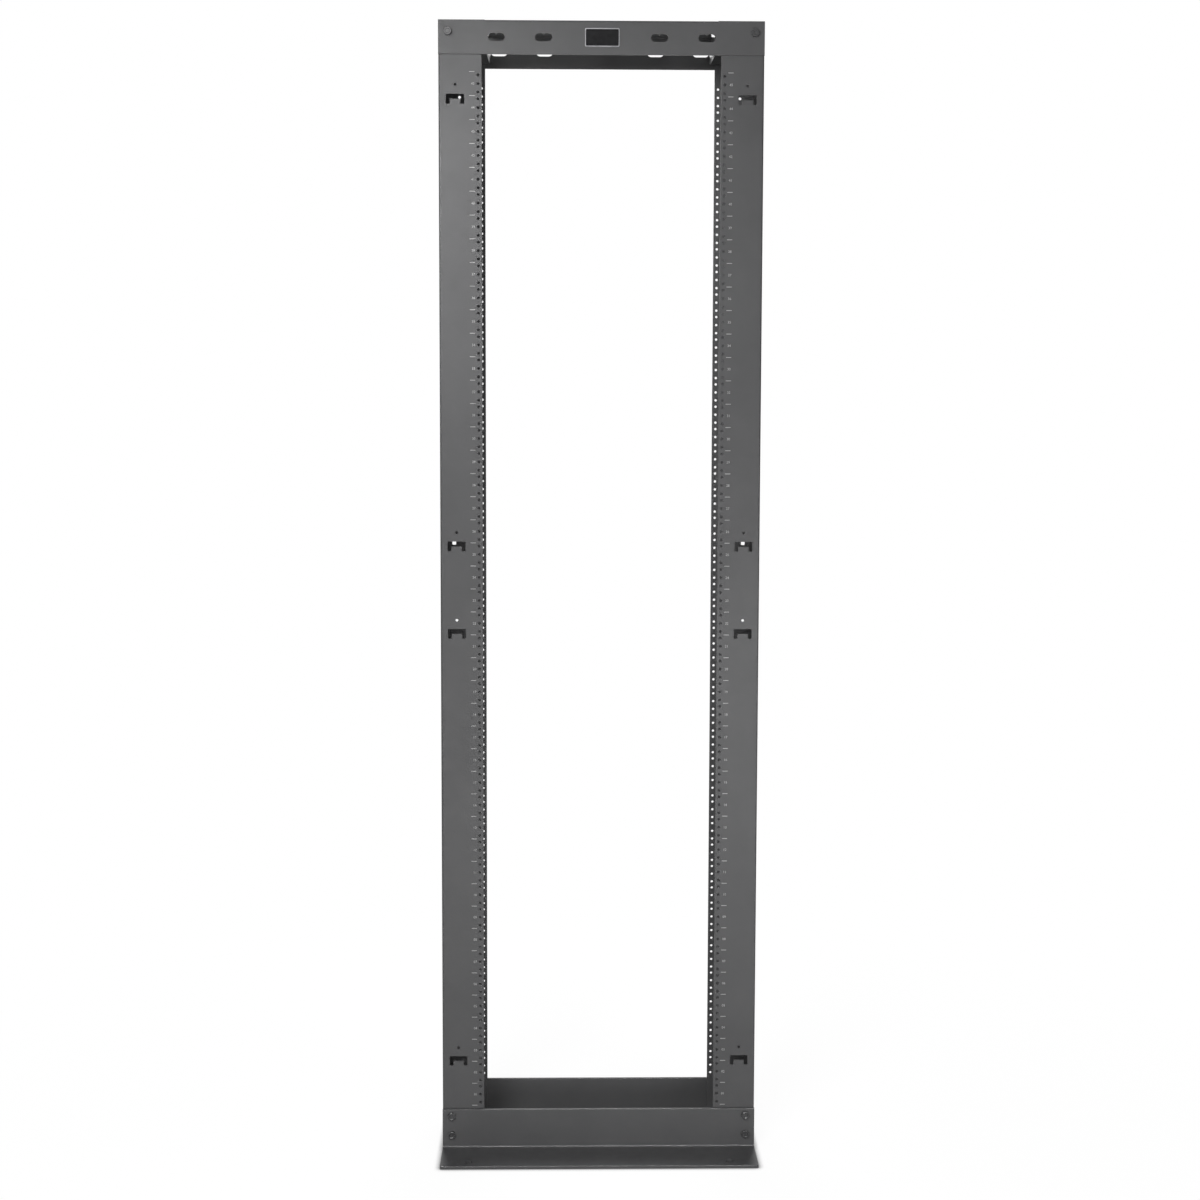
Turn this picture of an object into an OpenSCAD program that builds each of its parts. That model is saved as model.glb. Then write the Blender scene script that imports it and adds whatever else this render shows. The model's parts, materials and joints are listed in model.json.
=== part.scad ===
// Two post open frame rack, 19 inch hole pattern, steel channel posts.
// Millimetres. Z is up from the floor, the front faces -Y, X runs across the rack,
// and the origin is on the floor under the middle of the rack.

/* [Rack] */
// Number of rack units between the posts
rack_units = 45; // [10:1:48]
// Height of one rack unit
unit_h = 44.45; // [40:0.05:50]
// Clear width between the two posts
post_opening = 450.85; // [440:0.05:520]
// Height of the lowest rack unit line above the floor
lowest_line = 88.9; // [86:0.1:200]
// Height of the rack's top edge above the highest rack unit line
head_room = 95.25; // [80:0.25:160]

/* [Posts] */
// Width of a post's flanges
post_w = 81.6; // [70:0.1:110]
// Depth of a post from front face to rear face
post_d = 165.1; // [140:0.1:400]
// Steel thickness of the posts
post_t = 3; // [2:0.1:4]
// Inside bend radius of the posts
post_bend_r = 1.2; // [0.5:0.1:3]
// Radius on the free edges of the posts
post_edge_r = 0.8; // [0.2:0.1:0.9]
// Diameter of the rack holes
rack_hole_d = 5.5; // [4.5:0.1:7]
// Distance of the rack holes from a post's inner edge
rack_hole_inset = 7.125; // [5:0.005:12]

/* [Hook slots in the posts] */
// Distance of the hook slots' middle from a post's outer side
hook_inset = 31.2; // [25:0.1:40]
// Width of a hook slot
hook_w = 34.8; // [24:0.1:40]
// Height of a hook slot
hook_h = 19; // [14:0.1:26]
// Height of a hook slot's cross stroke
hook_bar_h = 9.6; // [6:0.1:12]
// Width of each of a hook slot's two legs
hook_leg_w = 7.5; // [4:0.1:10]
// Corner radius of a hook slot
hook_corner_r = 1.5; // [0.5:0.1:3]
// Diameter of the pilot hole above a hook slot
pilot_d = 5.5; // [4:0.1:8]
// Drop from the pilot hole to the top of its hook slot
pilot_drop = 17; // [12:0.1:24]
// Drop from the highest rack unit line to the first pilot hole
first_pilot = 24; // [20:0.1:60]
// Distance between the two pilot holes of the upper half, and of the lower half
pilot_far = 845.5; // [160:0.5:900]
// Distance between the two middle pilot holes
pilot_near = 169; // [60:0.5:400]

/* [Top bars] */
// Height of the top bars' upright leg
bar_h = 63.5; // [56:0.5:76]
// Depth of the top bars' level leg
bar_leg = 63.5; // [40:0.5:68]
// Steel thickness of the top bars
bar_t = 3; // [2:0.1:5]
// Inside bend radius of the top bars
bar_bend_r = 1.2; // [0.5:0.1:4]
// Radius on the free edges of the top bars
bar_edge_r = 0.8; // [0.2:0.1:0.9]
// Gap between the root of a level leg and the post beside it
bar_leg_gap = 5.8; // [2:0.1:20]
// How much narrower a level leg is at its free edge, on each side
bar_leg_taper = 6.4; // [1:0.1:20]
// Length of a runway slot
slot_l = 32; // [22:0.5:44]
// Height of a runway slot
slot_h = 15; // [10:0.5:20]
// Distance of a runway slot's middle above the bar's lower edge
slot_rise = 31.75; // [20:0.05:40]
// Distance between the two outer runway slots
slot_outer = 396; // [330:1:420]
// Distance between the two inner runway slots
slot_inner = 218; // [80:1:260]
// Height of the small tooth at the top of a runway slot
tooth_h = 3; // [1:0.1:5]

/* [Top ties] */
// Height of the ties that join the front bar to the rear bar
tie_h = 51; // [40:0.5:54]
// Height of a tie's web, which is cut away above that
tie_web_h = 25.4; // [15:0.1:30]
// Steel thickness of the ties
tie_t = 3; // [2:0.1:5]
// Inside bend radius of the ties
tie_bend_r = 1.2; // [0.5:0.1:4]
// Distance of a tie's web from the post's inner edge, towards the middle of the rack
tie_gap = 10.9; // [4:0.1:14]
// Radius on the free edges of the ties
tie_edge_r = 0.8; // [0.2:0.1:0.9]
// Metal left between a tie's bolt hole and the end of its tab
tie_tab_margin = 3; // [2:0.1:5]
// Gap between the tie's upper edge and the rack's top edge
tie_drop = 3; // [3:0.5:10]

/* [Base angles] */
// Height of the base angles' upright leg
base_h = 82.55; // [78:0.05:86]
// Length of the foot in front of a post's front face, and behind its rear face
foot_l = 101.6; // [60:0.1:220]
// Steel thickness of the base angles
base_t = 6.35; // [4:0.05:8]
// Inside bend radius of the base angles
base_bend_r = 3.2; // [1:0.1:6]
// Radius on the free edges of the base angles
base_edge_r = 1.5; // [0.2:0.1:1.8]
// Corner radius of the feet
foot_corner_r = 3; // [1:0.5:10]
// Diameter of the floor anchor holes
anchor_d = 16; // [10:0.5:20]
// Distance between the left and the right anchor hole of a foot
anchor_spread = 505.4; // [300:0.1:560]
// Distance of the anchor holes from a foot's outer edge
anchor_setback = 20.3; // [14:0.1:40]

/* [Bolt holes] */
// Diameter of the bolt holes
bolt_hole_d = 10.5; // [8:0.1:12]
// Distance of the bolt holes from a post's outer side
bolt_inset = 18; // [14:0.1:24]
// Height of the lower bolt holes above the floor
base_bolt_z = 31.2; // [22:0.1:34]
// Distance between the lower and the upper bolt holes in a base angle
base_bolt_step = 38.1; // [24:0.1:42]
// Distance of the top bolt holes below the rack's top edge
top_bolt_drop = 21.5; // [14:0.5:40]

/* [Hidden] */

// The 19 inch hole pattern: three holes below each unit line
unit_holes = [unit_h / 7, unit_h / 2, unit_h * 6 / 7];

// Levels above the floor
top_line = lowest_line + rack_units * unit_h;
rack_h = top_line + head_room;
slot_z = rack_h - bar_h + slot_rise;
top_bolt_z = rack_h - top_bolt_drop;
base_bolt_levels = [base_bolt_z, base_bolt_z + base_bolt_step];

// Distances from the middle of the rack
post_inner_x = post_opening / 2;
post_outer_x = post_inner_x + post_w;
rack_hole_x = post_inner_x + rack_hole_inset;
post_face_y = post_d / 2;
foot_edge_y = post_face_y + foot_l;
bolt_x = post_outer_x - bolt_inset;
hook_x = post_outer_x - hook_inset;
bar_leg_x = post_inner_x - bar_leg_gap;
tie_web_x = post_inner_x - tie_gap;

// Pilot holes above the hook slots, measured down from the highest unit line
pilot_drops = [
    first_pilot,
    first_pilot + pilot_far,
    first_pilot + pilot_far + pilot_near,
    first_pilot + 2 * pilot_far + pilot_near
];

// Drilling depth that passes both flanges of a post
through_y = post_d + 2;
cut = 1;
hole_fn = 24;
bend_fn = 32;

powder_black = [0.12, 0.12, 0.125];

// A quarter ring where a sheet bends, with the bend's outer corner at the origin
module bend_corner(t, bend_r) {
    outer_r = t + bend_r;
    difference() {
        intersection() {
            square([outer_r, outer_r]);
            translate([outer_r, outer_r]) circle(outer_r, $fn = bend_fn);
        }
        translate([outer_r, outer_r]) circle(bend_r, $fn = bend_fn);
    }
}

// A flat leg along +X with its two far edges rounded
module flat_leg(length, t, edge_r) {
    square([length - edge_r, t]);
    translate([length - edge_r, edge_r]) square([edge_r, t - 2 * edge_r]);
    for (y = [edge_r, t - edge_r])
        translate([length - edge_r, y]) circle(edge_r, $fn = bend_fn);
}

// A bent sheet angle: outer corner at the origin, legs towards +X and +Y
module angle_profile(leg_x, leg_y, t, bend_r, edge_r) {
    outer_r = t + bend_r;
    bend_corner(t, bend_r);
    translate([outer_r, 0]) flat_leg(leg_x - outer_r, t, edge_r);
    translate([0, outer_r]) mirror([1, -1]) flat_leg(leg_y - outer_r, t, edge_r);
}

// A bent sheet channel: web along Y at x = 0, flanges towards +X
module channel_profile(w, d, t, bend_r, edge_r) {
    outer_r = t + bend_r;
    translate([0, outer_r]) square([t, d - 2 * outer_r]);
    for (side = [0, 1])
        translate([0, side * d])
            mirror([0, side]) {
                bend_corner(t, bend_r);
                translate([outer_r, 0]) flat_leg(w - outer_r, t, edge_r);
            }
}

// A round hole along Y, centred on the origin
module hole_y(d, length) {
    rotate([90, 0, 0]) cylinder(h = length, d = d, center = true, $fn = hole_fn);
}

// A rectangle centred in X, hanging down from y = 0, with rounded corners
module hanging_rect(w, h, r) {
    translate([-w / 2 + r, -h]) square([w - 2 * r, h]);
    translate([-w / 2, -h + r]) square([w, h - 2 * r]);
    for (x = [-w / 2 + r, w / 2 - r])
        for (y = [-r, -h + r])
            translate([x, y]) circle(r, $fn = 24);
}

// The outline of a hook slot: a cross stroke with a leg at each end
module hook_outline() {
    hanging_rect(hook_w, hook_bar_h, hook_corner_r);
    for (side = [-1, 1])
        translate([side * (hook_w - hook_leg_w) / 2, 0])
            hanging_rect(hook_leg_w, hook_h, hook_corner_r);
}

// A hook slot and its pilot hole, cut along Y, with the pilot hole at the origin
module hook_cut() {
    hole_y(pilot_d, through_y);
    translate([0, through_y / 2, -pilot_drop])
        rotate([90, 0, 0])
            linear_extrude(through_y) hook_outline();
}

// The right post: a channel that opens towards the middle of the rack
module post() {
    difference() {
        translate([post_outer_x, post_face_y, 0])
            rotate([0, 0, 180])
                linear_extrude(rack_h)
                    channel_profile(post_w, post_d, post_t, post_bend_r, post_edge_r);
        for (unit = [0 : rack_units - 1])
            for (drop = unit_holes)
                translate([rack_hole_x, 0, top_line - unit * unit_h - drop])
                    hole_y(rack_hole_d, through_y);
        for (drop = pilot_drops)
            translate([hook_x, 0, top_line - drop]) hook_cut();
        for (z = concat(base_bolt_levels, [top_bolt_z]))
            translate([bolt_x, 0, z]) hole_y(bolt_hole_d, through_y);
    }
}

module right_post() {
    color(powder_black) post();
}

module left_post() {
    color(powder_black) mirror([1, 0, 0]) post();
}

// The outline of a runway slot: round ends and a small tooth at the top
module runway_slot_outline() {
    lobe_r = tooth_h + 0.4;
    tooth_tip = 1.2;
    straight = slot_l - slot_h;
    difference() {
        union() {
            square([straight, slot_h], center = true);
            for (side = [-1, 1])
                translate([side * straight / 2, 0]) circle(d = slot_h, $fn = bend_fn);
        }
        difference() {
            translate([-tooth_h, slot_h / 2 - tooth_h]) square([2 * tooth_h, tooth_h + cut]);
            for (side = [-1, 1])
                translate([side * (lobe_r + tooth_tip / 2), slot_h / 2 - tooth_h])
                    circle(lobe_r, $fn = hole_fn);
        }
    }
}

// A profile of the front top bar, extruded over the middle width, its corner on the bar's top edge
module along_bar(width) {
    translate([-width / 2, -post_face_y - bar_t, rack_h])
        rotate([0, 90, 0])
            linear_extrude(width) children();
}

// The front top bar: an upright leg over both posts and a level leg between them
module top_bar() {
    outer_r = bar_t + bar_bend_r;
    difference() {
        union() {
            along_bar(2 * post_outer_x)
                translate([outer_r, 0]) flat_leg(bar_h - outer_r, bar_t, bar_edge_r);
            along_bar(2 * bar_leg_x)
                angle_profile(bar_h, bar_leg, bar_t, bar_bend_r, bar_edge_r);
            for (side = [-1, 1])
                translate([side * (post_outer_x + bar_leg_x) / 2, 0, 0])
                    along_bar(post_outer_x - bar_leg_x) square([outer_r, bar_t]);
        }
        for (spread = [slot_outer, slot_inner])
            for (side = [-1, 1])
                translate([side * spread / 2, -post_face_y + cut, slot_z])
                    rotate([90, 0, 0])
                        linear_extrude(bar_t + 2 * cut) runway_slot_outline();
        for (side = [-1, 1])
            translate([side * bolt_x, -post_face_y, top_bolt_z]) hole_y(bolt_hole_d, 4 * bar_t);
        level_leg_taper();
        mirror([1, 0, 0]) level_leg_taper();
    }
}

// What is cut from the right end of the level leg, so that it narrows to its free edge
module level_leg_taper() {
    root_y = -post_face_y + bar_bend_r;
    free_y = -post_face_y - bar_t + bar_leg;
    translate([bar_leg_x, 0, rack_h - bar_t - cut])
        linear_extrude(bar_t + 2 * cut)
            polygon([
                [0, root_y],
                [cut, root_y],
                [cut, free_y + cut],
                [-bar_leg_taper, free_y + cut],
                [-bar_leg_taper, free_y]
            ]);
}

module top_front_bar() {
    color(powder_black) top_bar();
}

module top_rear_bar() {
    color(powder_black) mirror([0, 1, 0]) top_bar();
}

// The right tie: a low web from front to rear between two taller tabs inside the post's flanges
module top_tie() {
    tie_d = post_d - 2 * post_t;
    tie_w = bolt_x + bolt_hole_d / 2 + tie_tab_margin - tie_web_x;
    tie_z = rack_h - tie_drop - tie_h;
    outer_r = tie_t + tie_bend_r;
    difference() {
        translate([tie_web_x, -tie_d / 2, tie_z])
            linear_extrude(tie_h) channel_profile(tie_w, tie_d, tie_t, tie_bend_r, tie_edge_r);
        translate([tie_web_x - cut, -tie_d / 2 - cut, tie_z + tie_web_h])
            cube([outer_r + cut, tie_d + 2 * cut, tie_h]);
        translate([bolt_x, 0, top_bolt_z]) hole_y(bolt_hole_d, through_y);
    }
}

module right_top_tie() {
    color(powder_black) top_tie();
}

module left_top_tie() {
    color(powder_black) mirror([1, 0, 0]) top_tie();
}

// The front base angle: an upright leg over both posts and a foot in front of them
module base_angle() {
    difference() {
        translate([-post_outer_x, -post_face_y, 0])
            rotate([90, 0, 90])
                mirror([1, 0, 0])
                    linear_extrude(2 * post_outer_x)
                        angle_profile(foot_l, base_h, base_t, base_bend_r, base_edge_r);
        for (side = [-1, 1]) {
            for (z = base_bolt_levels)
                translate([side * bolt_x, -post_face_y, z]) hole_y(bolt_hole_d, 4 * base_t);
            translate([side * anchor_spread / 2, -foot_edge_y + anchor_setback, -cut])
                cylinder(h = base_t + 2 * cut, d = anchor_d, $fn = hole_fn);
            translate([side * post_outer_x, -foot_edge_y, -cut])
                foot_corner_cut(side);
        }
    }
}

// What rounds a foot's outer corner, on the side of the rack that side names
module foot_corner_cut(side) {
    linear_extrude(base_t + 2 * cut)
        difference() {
            translate([-side * foot_corner_r / 2, foot_corner_r / 2])
                square([foot_corner_r + 2 * cut, foot_corner_r + 2 * cut], center = true);
            translate([-side * foot_corner_r, foot_corner_r]) circle(foot_corner_r, $fn = bend_fn);
            translate([-side * (foot_corner_r + cut), foot_corner_r])
                square([2 * cut, 2 * foot_corner_r], center = true);
        }
}

module base_front_angle() {
    color(powder_black) base_angle();
}

module base_rear_angle() {
    color(powder_black) mirror([0, 1, 0]) base_angle();
}

left_post();
right_post();
top_front_bar();
top_rear_bar();
left_top_tie();
right_top_tie();
base_front_angle();
base_rear_angle();
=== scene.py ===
"""Looks of a two post open frame rack: powder coat, fasteners, thread linings,
unit print, a bare badge plate, and a plain studio. Metres, in the frame of the CAD."""

import json
import math

import bpy
from mathutils import Matrix, Vector

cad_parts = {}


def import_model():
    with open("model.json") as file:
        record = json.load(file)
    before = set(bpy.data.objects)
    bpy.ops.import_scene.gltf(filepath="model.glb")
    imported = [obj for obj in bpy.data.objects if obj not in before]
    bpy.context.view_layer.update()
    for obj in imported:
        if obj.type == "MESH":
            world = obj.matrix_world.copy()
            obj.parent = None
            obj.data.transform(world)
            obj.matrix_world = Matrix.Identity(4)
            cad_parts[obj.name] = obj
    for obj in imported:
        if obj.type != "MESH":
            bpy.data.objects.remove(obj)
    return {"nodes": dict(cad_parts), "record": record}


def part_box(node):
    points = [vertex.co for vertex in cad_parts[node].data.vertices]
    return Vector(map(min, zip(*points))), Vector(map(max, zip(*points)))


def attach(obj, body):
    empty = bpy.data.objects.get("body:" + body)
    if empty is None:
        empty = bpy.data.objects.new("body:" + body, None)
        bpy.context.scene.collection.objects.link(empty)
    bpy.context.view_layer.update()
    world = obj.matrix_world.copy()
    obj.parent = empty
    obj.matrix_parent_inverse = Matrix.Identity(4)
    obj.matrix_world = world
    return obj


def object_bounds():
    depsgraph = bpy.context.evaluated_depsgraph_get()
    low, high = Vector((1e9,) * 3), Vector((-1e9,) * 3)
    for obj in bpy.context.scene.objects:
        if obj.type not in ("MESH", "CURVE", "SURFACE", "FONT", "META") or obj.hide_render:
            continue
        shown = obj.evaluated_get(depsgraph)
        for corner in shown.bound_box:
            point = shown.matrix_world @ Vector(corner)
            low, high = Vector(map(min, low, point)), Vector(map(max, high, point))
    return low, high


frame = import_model()
cad_low, cad_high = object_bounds()

MM = 0.001
BODY = "root"

# ---------------------------------------------------------------- sizes
UNIT = 44.45 * MM
UNIT_COUNT = 45
HOLES_IN_UNIT = (1 / 7, 1 / 2, 6 / 7)

BASE_T = 6.35 * MM
BOLT_INSET = 18.0 * MM
BASE_BOLT_LEVELS = (31.2 * MM, 69.3 * MM)
TOP_BOLT_DROP = 21.5 * MM
SLOT_RISE = 31.75 * MM

BOLT_FLATS = 14.3 * MM
BOLT_HEAD_H = 6.0 * MM
BOLT_CROWN = 0.95  # of the head's radius, where its chamfer starts
BOLT_DISH = 0.7 * MM
BOLT_DISH_RIM = 0.72  # of the crown's radius
BOLT_DISH_FLOOR = 0.55
BOLT_SHANK_R = 4.7 * MM
BOLT_THREAD_PITCH = 1.6 * MM
BOLT_THREAD_DEPTH = 0.7 * MM
BOLT_TAIL = 4.8 * MM
BOLT_START = 0.1 * MM
BOLT_TIP_SHOULDER = 0.2 * MM
BOLT_TIP_TAPER = 0.4 * MM
BOLT_TIP_L = 0.8 * MM
NUT_H = 8.2 * MM
WASHER_R = 10.3 * MM
WASHER_T = 1.6 * MM
WASHER_GAP = 0.4 * MM
WASHER_EDGE = 0.2 * MM
BOLT_TURNS = (14, 43, 5, 26, 52, 33, 8, 19, 47, 38, 22, 57)
HEX_POINTS = 36
ROUND_POINTS = 24

THREAD_MAJOR_R = 2.75 * MM
THREAD_MINOR_R = 2.45 * MM
THREAD_PITCH = 1.06 * MM
THREAD_POINTS = 14
SAME_LEVEL = 1e-7

TICK_L = 10.2 * MM
TICK_H = 1.1 * MM
TICK_FROM_HOLES = 6.4 * MM
DIGIT_H = 4.6 * MM
PRINT_T = 0.06 * MM
TICK_R = TICK_H / 3
# Middle of the numbers on each post, from the rack's middle
LEFT_NUMBER_X = -242.3 * MM
RIGHT_NUMBER_X = 244.8 * MM

BADGE_W = 65.4 * MM
BADGE_H = 34.5 * MM
BADGE_R = 3.0 * MM
BADGE_T = 2.4 * MM
BADGE_RIM = 2.0 * MM
BADGE_BEVEL = 0.5 * MM
BADGE_RECESS = 0.8 * MM
BADGE_INNER_R = BADGE_R - BADGE_RIM * 0.6
BADGE_GAP = 0.1 * MM
BADGE_FACE_EDGE = 0.8 * MM
BADGE_OFF_CENTRE = 1.2 * MM

# ---------------------------------------------------------------- places, from the frame
mounts = {m["name"]: m for m in frame["record"]["mounts"]}
_, post_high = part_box("right_post")
bar_low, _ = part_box("top_front_bar")
_, tie_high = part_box("right_top_tie")

hole_x = mounts["rack_holes_top"]["dims"]["spacing_x_mm"] / 2 * MM
top_line = mounts["rack_holes_top"]["pos_m"][2] + UNIT / 2
face_y = post_high.y
post_t = face_y - tie_high.y  # the ties lie against the inside of the flanges
bar_face_y = -bar_low.y
base_face_y = face_y + BASE_T
bolt_x = post_high.x - BOLT_INSET
top_bolt_z = post_high.z - TOP_BOLT_DROP


def facing(x, y, z, turn=0.0):
    """A place on the front (y < 0) or rear face, with local Z pointing out of the rack and Y up."""
    away = 1 if y > 0 else -1
    basis = Matrix(((-away, 0, 0), (0, 0, away), (0, 1, 0))).to_4x4()
    return Matrix.Translation((x, y, z)) @ basis @ Matrix.Rotation(math.radians(turn), 4, "Z")


# ---------------------------------------------------------------- mesh building
class Shape:
    """Vertices and faces of one piece, gathered from many small parts."""

    def __init__(self):
        self.verts = []
        self.faces = []
        self.smooth = []

    def add(self, verts, faces, place=None, smooth=False):
        start = len(self.verts)
        for v in verts:
            self.verts.append(place @ Vector(v) if place else Vector(v))
        for f in faces:
            self.faces.append([start + i for i in f])
            self.smooth.append(smooth)

    def rings(self, rings, place, smooth=False, cap_first=True, cap_last=True, closed=False):
        """Joins rings of points, each with the same count, into a surface."""
        count = len(rings[0])
        verts = [p for ring in rings for p in ring]
        faces = []
        steps = len(rings) if closed else len(rings) - 1
        for k in range(steps):
            a, b = k * count, (k + 1) % len(rings) * count
            for i in range(count):
                j = (i + 1) % count
                faces.append([a + i, a + j, b + j, b + i])
        self.add(verts, faces, place, smooth)
        if cap_first:
            self.add(rings[0], [list(range(count))[::-1]], place)
        if cap_last:
            self.add(rings[-1], [list(range(count))], place)

    def piece(self, name, material):
        """Makes the object, which rides on the rack and takes its finish from a slot."""
        mesh = bpy.data.meshes.new(name)
        mesh.from_pydata([tuple(v) for v in self.verts], [], self.faces)
        mesh.polygons.foreach_set("use_smooth", self.smooth)
        mesh.materials.append(material)
        mesh.update()
        made = bpy.data.objects.new(name, mesh)
        bpy.context.scene.collection.objects.link(made)
        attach(made, BODY)
        return made


def circle(radius, z, count=ROUND_POINTS):
    return [
        (radius * math.cos(2 * math.pi * i / count), radius * math.sin(2 * math.pi * i / count), z)
        for i in range(count)
    ]


def hexagon_radius(angle, flats):
    """Distance from the middle to a hexagon's outline at an angle."""
    from_flat = (angle + math.pi / 6) % (math.pi / 3) - math.pi / 6
    return flats / 2 / math.cos(from_flat)


def hexagon(flats, z, chamfer_from=None, drop=1.0, count=HEX_POINTS):
    """A hexagonal ring. Corners beyond the radius chamfer_from fall by a 30 degree chamfer."""
    ring = []
    for i in range(count):
        angle = 2 * math.pi * i / count
        r = hexagon_radius(angle, flats)
        fall = (r - chamfer_from) * math.tan(math.pi / 6) if chamfer_from else 0
        ring.append((r * math.cos(angle), r * math.sin(angle), z - drop * fall))
    return ring


def rounded_rectangle(w, h, r, z, per_corner=6):
    ring = []
    for corner, (sx, sy) in enumerate(((1, 1), (-1, 1), (-1, -1), (1, -1))):
        for i in range(per_corner + 1):
            angle = math.pi / 2 * (corner + i / per_corner)
            x = sx * (w / 2 - r) + r * math.cos(angle)
            y = sy * (h / 2 - r) + r * math.sin(angle)
            ring.append((x, y, z))
    return ring


# ---------------------------------------------------------------- materials
COAT_COLOURS = ((0.078, 0.078, 0.080), (0.094, 0.094, 0.096))
COAT_ROUGHNESS = (0.36, 0.46)
COAT_SHINE = 0.25
STEEL_COLOURS = ((0.022, 0.022, 0.023), (0.045, 0.045, 0.047))
STEEL_ROUGHNESS = (0.24, 0.36)
STEEL_SHINE = 0.5
INK_COLOURS = ((0.38, 0.38, 0.38), (0.48, 0.48, 0.48))
INK_ROUGHNESS = 0.6
ENAMEL_COLOURS = ((0.007, 0.007, 0.008), (0.011, 0.011, 0.012))
ENAMEL_ROUGHNESS = (0.16, 0.24)
ENAMEL_SHINE = 0.15
RIM_COLOURS = ((0.24, 0.24, 0.25), (0.32, 0.32, 0.33))
RIM_ROUGHNESS = (0.24, 0.38)
RIM_BRUSHING = (60, 1500, 1500)
# Part of a noise's range that is spread between the two ends of a ramp
RAMP_FROM, RAMP_TO = 0.3, 0.7


def node_material(name):
    material = bpy.data.materials.new(name)
    material.use_nodes = True
    tree = material.node_tree
    shader = next(n for n in tree.nodes if n.type == "BSDF_PRINCIPLED")
    return material, tree, shader


def noise(tree, scale, detail=2.0, roughness=0.5):
    """Noise over the piece's own coordinates, in features per metre."""
    place = tree.nodes.new("ShaderNodeTexCoord")
    made = tree.nodes.new("ShaderNodeTexNoise")
    made.inputs["Scale"].default_value = scale
    made.inputs["Detail"].default_value = detail
    made.inputs["Roughness"].default_value = roughness
    tree.links.new(place.outputs["Object"], made.inputs["Vector"])
    return made.outputs["Fac"]


def vary(tree, socket, value, ends):
    """Lets a noise value take a socket between two ends, numbers or colours."""
    made = tree.nodes.new("ShaderNodeValToRGB")
    stops = made.color_ramp.elements
    stops[0].position, stops[1].position = RAMP_FROM, RAMP_TO
    for stop, level in zip(stops, ends):
        stop.color = (*level, 1) if isinstance(level, tuple) else (level, level, level, 1)
    tree.links.new(value, made.inputs["Fac"])
    tree.links.new(made.outputs["Color"], socket)


def bump(tree, shader, value, distance, strength, below=None):
    made = tree.nodes.new("ShaderNodeBump")
    made.inputs["Distance"].default_value = distance
    made.inputs["Strength"].default_value = strength
    tree.links.new(value, made.inputs["Height"])
    if below:
        tree.links.new(below, made.inputs["Normal"])
    tree.links.new(made.outputs["Normal"], shader.inputs["Normal"])
    return made.outputs["Normal"]


def powder_coat():
    """Satin black powder coat: soft mottling, and the fine grain of cured powder."""
    material, tree, shader = node_material("powder_coat")
    vary(tree, shader.inputs["Base Color"], noise(tree, 6, 4, 0.6), COAT_COLOURS)
    vary(tree, shader.inputs["Roughness"], noise(tree, 45, 3), COAT_ROUGHNESS)
    shader.inputs["Specular IOR Level"].default_value = COAT_SHINE
    peel = bump(tree, shader, noise(tree, 160, 2), 0.12 * MM, 0.12)
    bump(tree, shader, noise(tree, 900, 3), 0.05 * MM, 0.30, peel)
    return material


def black_steel():
    """Blackened bolt steel, darker in its pores and a little oily."""
    material, tree, shader = node_material("bolt_steel")
    vary(tree, shader.inputs["Base Color"], noise(tree, 300, 3), STEEL_COLOURS)
    vary(tree, shader.inputs["Roughness"], noise(tree, 500, 2), STEEL_ROUGHNESS)
    shader.inputs["Specular IOR Level"].default_value = STEEL_SHINE
    bump(tree, shader, noise(tree, 1400, 2), 0.03 * MM, 0.25)
    return material


def print_grey():
    """Screen print: a thin layer of grey ink, slightly uneven."""
    material, tree, shader = node_material("print_grey")
    vary(tree, shader.inputs["Base Color"], noise(tree, 1200, 3), INK_COLOURS)
    shader.inputs["Roughness"].default_value = INK_ROUGHNESS
    bump(tree, shader, noise(tree, 2500, 2), 0.01 * MM, 0.2)
    return material


def badge_face():
    """Gloss black enamel with the faintest orange peel."""
    material, tree, shader = node_material("badge_face")
    vary(tree, shader.inputs["Base Color"], noise(tree, 90, 2), ENAMEL_COLOURS)
    vary(tree, shader.inputs["Roughness"], noise(tree, 260, 2), ENAMEL_ROUGHNESS)
    shader.inputs["Specular IOR Level"].default_value = ENAMEL_SHINE
    bump(tree, shader, noise(tree, 400, 2), 0.02 * MM, 0.15)
    return material


def badge_rim():
    """Satin metal, brushed along the plate."""
    material, tree, shader = node_material("badge_rim")
    place = tree.nodes.new("ShaderNodeTexCoord")
    stretch = tree.nodes.new("ShaderNodeMapping")
    stretch.inputs["Scale"].default_value = RIM_BRUSHING
    brushed = tree.nodes.new("ShaderNodeTexNoise")
    brushed.inputs["Scale"].default_value = 1.0
    tree.links.new(place.outputs["Object"], stretch.inputs["Vector"])
    tree.links.new(stretch.outputs["Vector"], brushed.inputs["Vector"])
    vary(tree, shader.inputs["Base Color"], brushed.outputs["Fac"], RIM_COLOURS)
    vary(tree, shader.inputs["Roughness"], brushed.outputs["Fac"], RIM_ROUGHNESS)
    shader.inputs["Metallic"].default_value = 1.0
    bump(tree, shader, brushed.outputs["Fac"], 0.02 * MM, 0.3)
    return material


coat = powder_coat()
steel = black_steel()
ink = print_grey()
enamel = badge_face()
bright = badge_rim()

for node in frame["nodes"].values():
    node.data.materials.clear()
    node.data.materials.append(coat)


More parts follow.
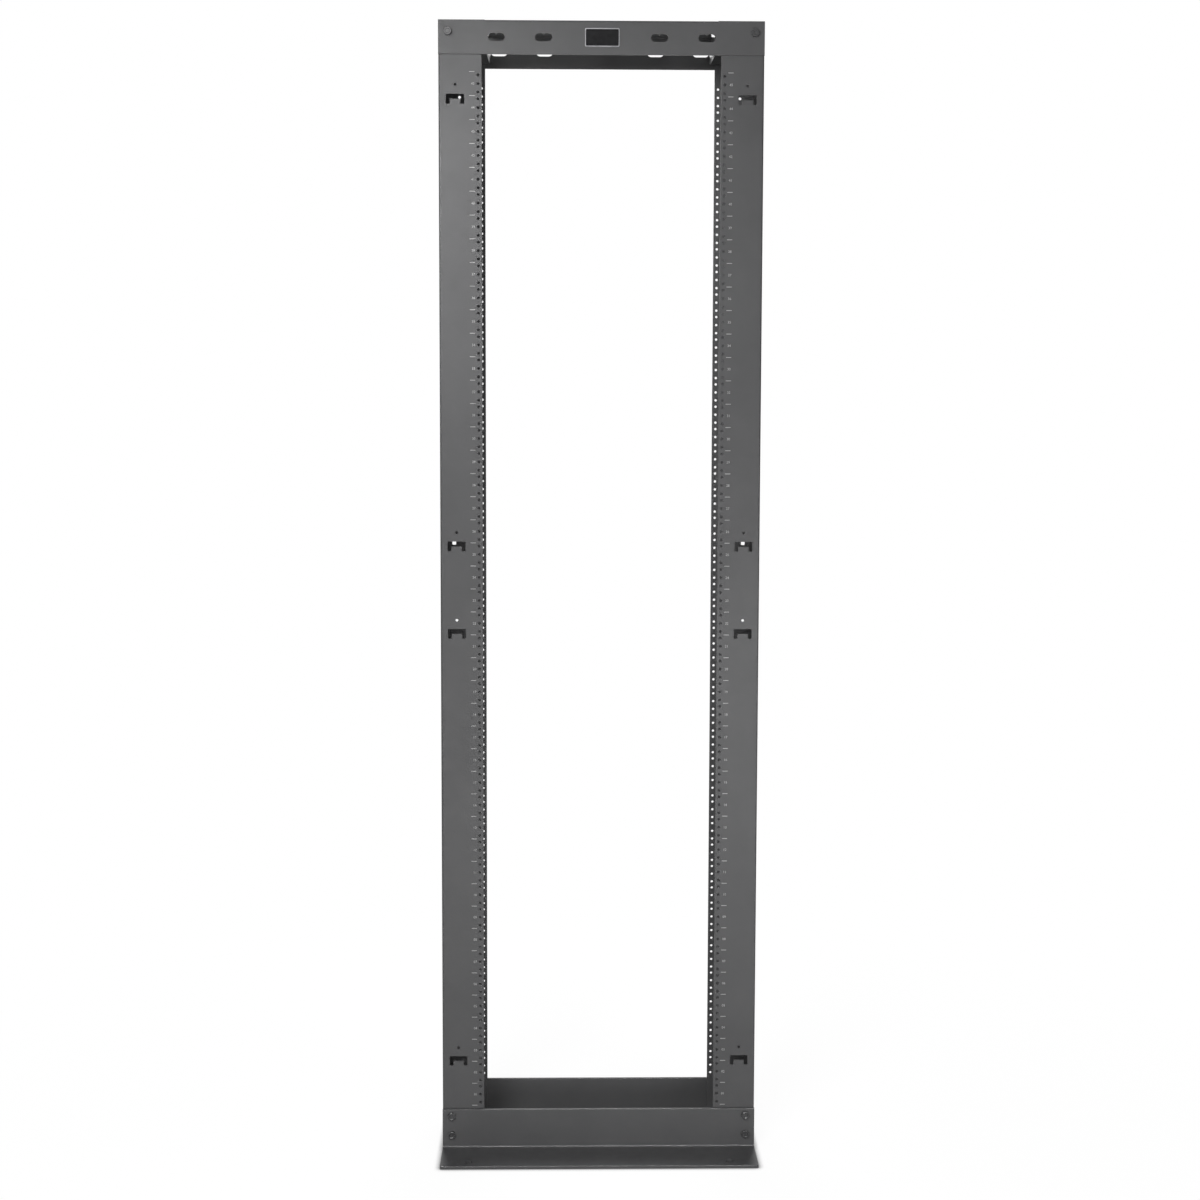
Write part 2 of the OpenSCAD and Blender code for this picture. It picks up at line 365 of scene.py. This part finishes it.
# ---------------------------------------------------------------- fasteners
def bolt_with_nut(shape, place, stack):
    """A hex bolt from outside through a stack of sheets, with a washer and a nut inside."""
    crown = BOLT_FLATS / 2 * BOLT_CROWN
    shape.rings(
        [
            hexagon(BOLT_FLATS, 0),
            hexagon(BOLT_FLATS, BOLT_HEAD_H, crown),
            circle(crown, BOLT_HEAD_H, HEX_POINTS),
            circle(crown * BOLT_DISH_RIM, BOLT_HEAD_H, HEX_POINTS),
            circle(crown * BOLT_DISH_FLOOR, BOLT_HEAD_H - BOLT_DISH, HEX_POINTS),
        ],
        place,
    )
    washer_top, nut_top = -stack, -stack - WASHER_T
    nut_end = nut_top - NUT_H
    shape.rings(
        [
            circle(BOLT_SHANK_R + WASHER_GAP, washer_top),
            circle(BOLT_SHANK_R + WASHER_GAP, nut_top),
            circle(WASHER_R - WASHER_EDGE, nut_top),
            circle(WASHER_R, nut_top + WASHER_EDGE),
            circle(WASHER_R, washer_top),
        ],
        place,
        cap_first=False,
        cap_last=False,
        closed=True,
    )
    shape.rings(
        [
            circle(crown, nut_end, HEX_POINTS),
            hexagon(BOLT_FLATS, nut_end, crown, -1.0),
            hexagon(BOLT_FLATS, nut_top, crown, 1.0),
            circle(crown, nut_top, HEX_POINTS),
        ],
        place,
    )
    root_r = BOLT_SHANK_R - BOLT_THREAD_DEPTH
    shank = [circle(BOLT_SHANK_R, -BOLT_START), circle(BOLT_SHANK_R, nut_top)]
    turns = int(BOLT_TAIL / BOLT_THREAD_PITCH)
    for k in range(turns):
        start = nut_end - k * BOLT_THREAD_PITCH
        shank.append(circle(BOLT_SHANK_R, start))
        shank.append(circle(root_r, start - BOLT_THREAD_PITCH / 2))
    tip = nut_end - turns * BOLT_THREAD_PITCH
    shank.append(circle(BOLT_SHANK_R - BOLT_TIP_SHOULDER, tip))
    shank.append(circle(root_r - BOLT_TIP_TAPER, tip - BOLT_TIP_L))
    shape.rings(shank, place)


def all_bolts():
    turns = iter(BOLT_TURNS)
    for side, away in (("front", -1), ("rear", 1)):
        top = Shape()
        base = Shape()
        for x in (-bolt_x, bolt_x):
            # the bar, the post's flange and the tie's tab, which is as thick as the flange
            stack = bar_face_y - tie_high.y + post_t
            bolt_with_nut(top, facing(x, away * bar_face_y, top_bolt_z, next(turns)), stack)
            for z in BASE_BOLT_LEVELS:
                place = facing(x, away * base_face_y, z, next(turns))
                bolt_with_nut(base, place, BASE_T + post_t)
        top.piece("top_bolts_" + side, steel)
        base.piece("base_bolts_" + side, steel)


# ---------------------------------------------------------------- threads of the rack holes
def thread_points(length):
    """One hole's thread as a helix from z = 0 down to -length, and its faces."""
    turns = length / THREAD_PITCH
    steps = int(math.ceil(turns * THREAD_POINTS)) + THREAD_POINTS
    verts, faces = [], []
    for k in range(steps + THREAD_POINTS + 1):
        angle = 2 * math.pi * k / THREAD_POINTS
        root_z = THREAD_PITCH - k * THREAD_PITCH / THREAD_POINTS
        for radius, z in (
            (THREAD_MAJOR_R, root_z),
            (THREAD_MINOR_R, root_z - THREAD_PITCH / 2),
        ):
            z = min(0.0, max(-length, z))
            verts.append((radius * math.cos(angle), radius * math.sin(angle), z))
    for k in range(steps):
        root, crest = 2 * k, 2 * k + 1
        below = 2 * (k + THREAD_POINTS)
        faces.append([root, root + 2, crest + 2, crest])
        faces.append([crest, crest + 2, below + 2, below])
    used = [f for f in faces if any(abs(verts[i][2] - verts[f[0]][2]) > SAME_LEVEL for i in f)]
    return verts, used


def rack_hole_levels():
    for unit in range(UNIT_COUNT):
        for part in HOLES_IN_UNIT:
            yield top_line - (unit + part) * UNIT


def all_threads():
    verts, faces = thread_points(post_t)
    for side, x in (("left", -hole_x), ("right", hole_x)):
        for end, y in (("front", -face_y), ("rear", face_y)):
            shape = Shape()
            for z in rack_hole_levels():
                shape.add(verts, faces, facing(x, y, z), smooth=True)
            shape.piece(f"threads_{side}_{end}", steel)


# ---------------------------------------------------------------- unit print
def number_shape(text):
    """The built-in font's digits as a thin mesh, centred, DIGIT_H tall."""
    curve = bpy.data.curves.new("number", "FONT")
    curve.body = text
    curve.resolution_u = 3
    curve.align_x = "CENTER"
    curve.align_y = "CENTER"
    curve.extrude = 0.5
    holder = bpy.data.objects.new("number", curve)
    bpy.context.scene.collection.objects.link(holder)
    bpy.context.view_layer.update()
    graph = bpy.context.evaluated_depsgraph_get()
    mesh = bpy.data.meshes.new_from_object(holder.evaluated_get(graph))
    ys = [v.co.y for v in mesh.vertices]
    scale = DIGIT_H / (max(ys) - min(ys))
    middle = (max(ys) + min(ys)) / 2
    verts = [
        (v.co.x * scale, (v.co.y - middle) * scale, (v.co.z + curve.extrude) * PRINT_T)
        for v in mesh.vertices
    ]
    faces = [list(p.vertices) for p in mesh.polygons]
    bpy.data.meshes.remove(mesh)
    bpy.data.objects.remove(holder)
    bpy.data.curves.remove(curve)
    return verts, faces


def all_print():
    """Unit lines and unit numbers, counted up from the floor, beside each column of rack holes."""
    numbers = [number_shape(f"{UNIT_COUNT - unit:02d}") for unit in range(UNIT_COUNT)]
    tick = [rounded_rectangle(TICK_L, TICK_H, TICK_R, z, 2) for z in (0, PRINT_T)]
    tick_x = hole_x + TICK_FROM_HOLES + TICK_L / 2
    for side, line_x, number_x in (
        ("left", -tick_x, LEFT_NUMBER_X),
        ("right", tick_x, RIGHT_NUMBER_X),
    ):
        for end, y in (("front", -face_y), ("rear", face_y)):
            shape = Shape()
            for line in range(UNIT_COUNT + 1):
                shape.rings(tick, facing(line_x, y, top_line - line * UNIT))
            for unit, (verts, faces) in enumerate(numbers):
                shape.add(verts, faces, facing(number_x, y, top_line - (unit + 0.5) * UNIT))
            shape.piece(f"unit_print_{side}_{end}", ink)


# ---------------------------------------------------------------- bare badge plate
def badge():
    """The plate in the middle of the front bar, kept bare: a bright rim round a dark face."""
    place = facing(BADGE_OFF_CENTRE, bar_low.y, bar_low.z + SLOT_RISE)
    sunk = BADGE_T - BADGE_RECESS

    def outline(inset, r, z):
        return rounded_rectangle(BADGE_W - 2 * inset, BADGE_H - 2 * inset, r, z)

    def inner(inset, r, z):
        return outline(BADGE_RIM + inset, r, z)

    rim = Shape()
    rim.rings(
        [
            outline(0, BADGE_R, 0),
            outline(0, BADGE_R, BADGE_T - BADGE_BEVEL),
            outline(BADGE_BEVEL, BADGE_R - BADGE_BEVEL / 2, BADGE_T),
            inner(-BADGE_BEVEL, BADGE_INNER_R + BADGE_BEVEL / 2, BADGE_T),
            inner(0, BADGE_INNER_R, BADGE_T - BADGE_BEVEL),
            inner(0, BADGE_INNER_R, sunk - BADGE_BEVEL),
        ],
        place,
        cap_last=False,
    )
    rim.piece("badge_rim", bright)
    face = Shape()
    face.rings(
        [
            inner(BADGE_GAP / 2, BADGE_INNER_R, sunk - BADGE_BEVEL),
            inner(BADGE_GAP / 2, BADGE_INNER_R, sunk - BADGE_GAP),
            inner(BADGE_FACE_EDGE / 2, BADGE_INNER_R, sunk),
        ],
        place,
    )
    face.piece("badge_face", enamel)


all_bolts()
all_threads()
all_print()
badge()


# ---------------------------------------------------------------- studio
CAMERA_AT = (-0.0690, -3.80365, 1.49495)
CAMERA_TURN = (1.057, -5.030, 0.159)  # yaw, pitch and roll in degrees
CAMERA_LENS = 58.26
CAMERA_RISE = -0.0333
CAMERA_CLIP = (0.05, 200)

WORLD_LIGHT = 0.11
FLOOR_SIZE = 60.0
FLOOR_STEPS = 8
FLOOR_BOUNCE = 0.8
FLOOR_SHADE = 0.15
FLOOR_LIFT = 0.93
# How far the floor's painted contact shade reaches, in metres
FLOOR_PAINTED_SHADE_REACH = 0.012
FLOOR_SHADE_ENDS = (0.5, 1.6)
CARD_AT = 1.3
CARD_Y = (-0.4, 4)
CARD_TOP = 3
CARD_BLACK = 0.01

# name, place, aim, size, watts, spread in degrees
LIGHTS = (
    ("key_front", (-1.1, -3.3, 2.5), (-0.1, 0, 1.8), (1.2, 1.2), 56, 180),
    ("left_upper", (-1.0, -1.7, 2.25), (-0.3, -0.18, 1.8), (0.5, 0.5), 1.15, 38),
    ("right_lower", (1.1, -1.7, 1.1), (0.3, -0.18, 0.75), (0.5, 0.7), 0.75, 44),
    ("fill_front", (1.0, -3.3, 0.7), (0.2, 0, 0.8), (1.2, 1.0), 12, 180),
    ("low", (-0.1, -2.6, 0.35), (0, 0, 0.5), (1.6, 0.5), 12, 180),
    ("back", (0, 2.4, 2.2), (0, 0, 1.1), (2.0, 1.6), 30, 180),
)
# Met by reflections alone, for the thin bright lines along the base's edges
EDGE_LIGHT = ("edge", (0, -1.6, 1.9), (0, -0.2, 0.1), (2.0, 0.4), 7, 40)


def camera():
    """The photograph's viewpoint: in front, a little left of the middle, tilted slightly down."""
    yaw, pitch, roll = (math.radians(a) for a in CAMERA_TURN)
    forward = Vector((math.sin(yaw), math.cos(yaw), 0)) * math.cos(pitch)
    forward.z = math.sin(pitch)
    level = Vector((math.cos(yaw), -math.sin(yaw), 0))
    above = level.cross(forward)
    right = math.cos(roll) * level + math.sin(roll) * above
    up = math.cos(roll) * above - math.sin(roll) * level
    data = bpy.data.cameras.new("camera")
    data.sensor_width = 36.0
    data.lens = CAMERA_LENS
    data.shift_y = CAMERA_RISE
    data.clip_start, data.clip_end = CAMERA_CLIP
    made = bpy.data.objects.new("camera", data)
    bpy.context.scene.collection.objects.link(made)
    turned = Matrix((right, up, -forward)).transposed().to_4x4()
    made.matrix_world = Matrix.Translation(CAMERA_AT) @ turned
    bpy.context.scene.camera = made


def soft_light(name, at, aim, size, watts, spread):
    data = bpy.data.lights.new(name, "AREA")
    data.shape = "RECTANGLE"
    data.size, data.size_y = size
    data.energy = watts
    data.spread = math.radians(spread)
    made = bpy.data.objects.new(name, data)
    bpy.context.scene.collection.objects.link(made)
    made.location = at
    made.rotation_euler = (Vector(aim) - Vector(at)).to_track_quat("-Z", "Y").to_euler()
    return made


def seen_directly(tree):
    """1 for camera, glossy and transmission rays, 0 for the rays that carry the lighting."""
    path = tree.nodes.new("ShaderNodeLightPath")
    either = path.outputs["Is Camera Ray"]
    for name in ("Is Glossy Ray", "Is Transmission Ray"):
        both = tree.nodes.new("ShaderNodeMath")
        both.operation = "MAXIMUM"
        tree.links.new(either, both.inputs[0])
        tree.links.new(path.outputs[name], both.inputs[1])
        either = both.outputs[0]
    return either


def world():
    made = bpy.data.worlds.new("studio")
    made.use_nodes = True
    tree = made.node_tree
    tree.nodes.clear()
    shown = tree.nodes.new("ShaderNodeBackground")
    shown.inputs["Color"].default_value = (1, 1, 1, 1)
    lighting = tree.nodes.new("ShaderNodeBackground")
    lighting.inputs["Color"].default_value = (1, 1, 1, 1)
    lighting.inputs["Strength"].default_value = WORLD_LIGHT
    out = tree.nodes.new("ShaderNodeOutputWorld")
    sky = mixed(tree, seen_directly(tree), lighting.outputs[0], shown.outputs[0])
    tree.links.new(sky, out.inputs["Surface"])
    bpy.context.scene.world = made


def staged(name, points, faces, material):
    """A floor or card of the studio, which isn't part of the rack."""
    mesh = bpy.data.meshes.new(name)
    mesh.from_pydata(points, [], faces)
    mesh.materials.append(material)
    made = bpy.data.objects.new(name, mesh)
    bpy.context.scene.collection.objects.link(made)
    return made


def bare_material(name):
    material = bpy.data.materials.new(name)
    material.use_nodes = True
    material.node_tree.nodes.clear()
    return material, material.node_tree


def diffuse(tree, level):
    made = tree.nodes.new("ShaderNodeBsdfDiffuse")
    made.inputs["Color"].default_value = (level, level, level, 1)
    return made.outputs[0]


def mixed(tree, factor, first, second):
    made = tree.nodes.new("ShaderNodeMixShader")
    tree.links.new(factor, made.inputs["Fac"])
    tree.links.new(first, made.inputs[1])
    tree.links.new(second, made.inputs[2])
    return made.outputs[0]


def math_node(tree, operation, value, by):
    made = tree.nodes.new("ShaderNodeMath")
    made.operation = operation
    made.inputs[1].default_value = by
    tree.links.new(value, made.inputs[0])
    return made.outputs[0]


def floor_material():
    """Pale with the rack's cast shadow near it and a painted contact shade close under it; white
    farther off, plain where it lights the rack.
    """
    material, tree = bare_material("floor")
    # Ambient occlusion dims the glow that keeps the floor white: painted shade where the floor
    # meets the rack, under its feet and in its anchor holes.
    painted_shade_ao = tree.nodes.new("ShaderNodeAmbientOcclusion")
    painted_shade_ao.inputs["Distance"].default_value = FLOOR_PAINTED_SHADE_REACH
    painted_shade_depth = math_node(tree, "POWER", painted_shade_ao.outputs["AO"], 2.0)
    lift = tree.nodes.new("ShaderNodeEmission")
    tree.links.new(math_node(tree, "MULTIPLY", painted_shade_depth, FLOOR_LIFT), lift.inputs["Strength"])
    shaded = tree.nodes.new("ShaderNodeAddShader")
    tree.links.new(diffuse(tree, FLOOR_SHADE), shaded.inputs[0])
    tree.links.new(lift.outputs[0], shaded.inputs[1])

    place = tree.nodes.new("ShaderNodeTexCoord")
    length = tree.nodes.new("ShaderNodeVectorMath")
    length.operation = "LENGTH"
    tree.links.new(place.outputs["Object"], length.inputs[0])
    away = tree.nodes.new("ShaderNodeMapRange")
    away.inputs["From Min"].default_value, away.inputs["From Max"].default_value = FLOOR_SHADE_ENDS
    tree.links.new(length.outputs["Value"], away.inputs["Value"])
    white = tree.nodes.new("ShaderNodeEmission")
    shown = mixed(tree, away.outputs["Result"], shaded.outputs[0], white.outputs[0])

    out = tree.nodes.new("ShaderNodeOutputMaterial")
    surface = mixed(tree, seen_directly(tree), diffuse(tree, FLOOR_BOUNCE), shown)
    tree.links.new(surface, out.inputs["Surface"])
    return material


def floor():
    """A pale floor under the rack's lowest face, with the rack's soft cast shadow and a painted
    contact shade close under it.
    """
    row = FLOOR_STEPS + 1
    at = [FLOOR_SIZE * (i / FLOOR_STEPS - 0.5) for i in range(row)]
    points = [(x, y, 0) for y in at for x in at]
    faces = [
        [j * row + i, j * row + i + 1, (j + 1) * row + i + 1, (j + 1) * row + i]
        for j in range(FLOOR_STEPS)
        for i in range(FLOOR_STEPS)
    ]
    made = staged("floor", points, faces, floor_material())
    made.location.z = cad_low.z


def glossy_card(name, x):
    """A black card beside the rack, met by reflections alone, so the bends keep a dark outline."""
    material, tree = bare_material(name)
    out = tree.nodes.new("ShaderNodeOutputMaterial")
    tree.links.new(diffuse(tree, CARD_BLACK), out.inputs["Surface"])
    near, far = CARD_Y
    corners = [(x, near, 0), (x, far, 0), (x, far, CARD_TOP), (x, near, CARD_TOP)]
    made = staged(name, corners, [[0, 1, 2, 3]], material)
    made.visible_camera = False
    made.visible_diffuse = False
    made.visible_transmission = False
    made.visible_shadow = False


camera()
world()
floor()
for light in LIGHTS:
    soft_light(*light)
soft_light(*EDGE_LIGHT).visible_diffuse = False
glossy_card("left_card", -CARD_AT)
glossy_card("right_card", CARD_AT)

bpy.context.scene.view_settings.view_transform = "Standard"
